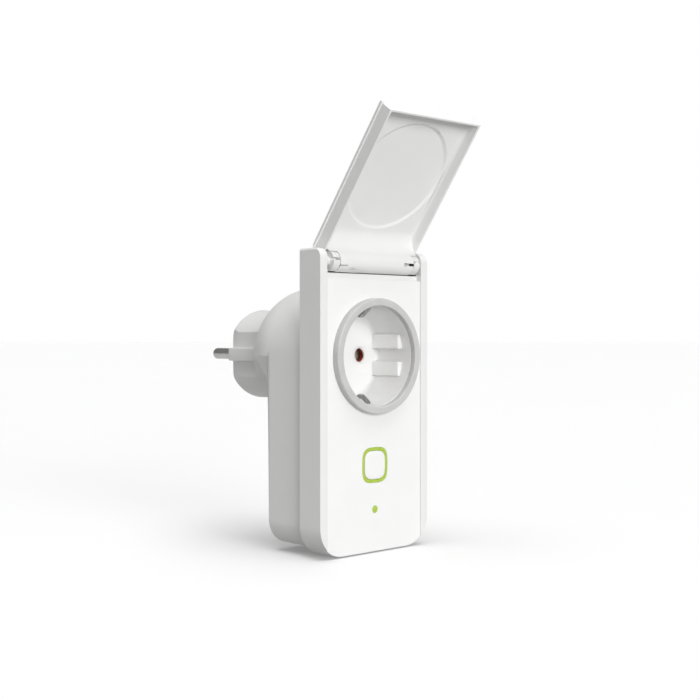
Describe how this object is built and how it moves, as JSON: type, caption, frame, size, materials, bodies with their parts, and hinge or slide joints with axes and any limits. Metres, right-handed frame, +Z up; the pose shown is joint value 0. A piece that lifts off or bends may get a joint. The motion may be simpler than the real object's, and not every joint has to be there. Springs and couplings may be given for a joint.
{
  "type": "smart plug",
  "caption": "Outdoor smart plug: round earthed plug behind, lidded round socket in front, push button with light ring and indicator below.",
  "frame": {"origin": "centre of the plug face that meets the wall socket", "axes": "+Z up along the case, front of the case faces -Y, plug pins point along +Y, +X to the right when facing the front"},
  "size_m": [0.06, 0.1245, 0.1724],
  "materials": {
    "case_white": "satin moulded plastic",
    "panel_white": "smooth satin gloss",
    "seal_grey": "soft matt elastomer",
    "light_green": "translucent, lit",
    "shutter_red": "matt",
    "pin_metal": "nickel plated",
    "spring_steel": "drawn wire",
    "brass": "stamped strip",
    "board_green": "solder mask",
    "part_black": "moulded",
    "part_blue": "moulded",
    "part_yellow": "tape wrapped",
    "part_cream": "moulded"
  },
  "bodies": {
    "case": {"front_housing": "case_white", "front_panel": "panel_white", "rear_housing": "case_white", "case_gasket": "seal_grey", "case_screws": "spring_steel", "socket_cup": "panel_white", "socket_ring": "seal_grey", "socket_earth_bow": "pin_metal", "live_contact": "brass", "neutral_contact": "brass", "contact_block": "part_cream", "shutter_pivot": "spring_steel", "shutter_spring": "spring_steel", "plug_body": "case_white", "live_pin": "pin_metal", "neutral_pin": "pin_metal", "plug_earth_strips": "pin_metal", "live_supply_bar": "brass", "live_load_bar": "brass", "neutral_bar": "brass", "earth_bars": "brass", "control_board": "board_green", "power_board": "board_green", "board_header": "part_black", "relay": "part_blue", "transformer": "part_yellow", "bulk_capacitors": "part_black", "film_capacitor": "part_yellow", "varistor": "part_blue", "fuse": "part_cream", "choke": "part_black", "radio_module": "pin_metal", "status_leds": "part_cream", "button_light_ring": "light_green", "button_spring": "spring_steel", "led_lens": "light_green", "tact_switch": "part_black", "hinge_pin": "spring_steel", "hinge_bushes": "case_white"},
    "shutter": {"shutter": "shutter_red"},
    "button": {"button_cap": "panel_white"},
    "plunger": {"switch_plunger": "part_black"},
    "lid": {"lid_shell": "panel_white"}
  },
  "joints": [
    {"name": "lid_hinge", "type": "hinge", "parent": "case", "child": "lid", "pos_m": [0, -0.0694, 0.037], "axis": [1, 0, 0], "range_deg": [0, 144.1]},
    {"name": "button_press", "type": "slide", "parent": "case", "child": "button", "axis": [0, 1, 0], "range_m": [0, 0.0006], "stiffness_N_per_m": 600, "deforming": ["button_spring"]},
    {"name": "plunger_press", "type": "slide", "parent": "case", "child": "plunger", "axis": [0, 1, 0], "range_m": [0, 0.0006]},
    {"name": "shutter_turn", "type": "hinge", "parent": "case", "child": "shutter", "pos_m": [0, -0.0498, 0], "axis": [0, 1, 0], "range_deg": [0, 36], "stiffness_Nm_per_rad": 0.01, "deforming": ["shutter_spring"]}
  ],
  "couplings": [
    {"joint": "plunger_press", "follows": "button_press", "ratio": 1}
  ]
}
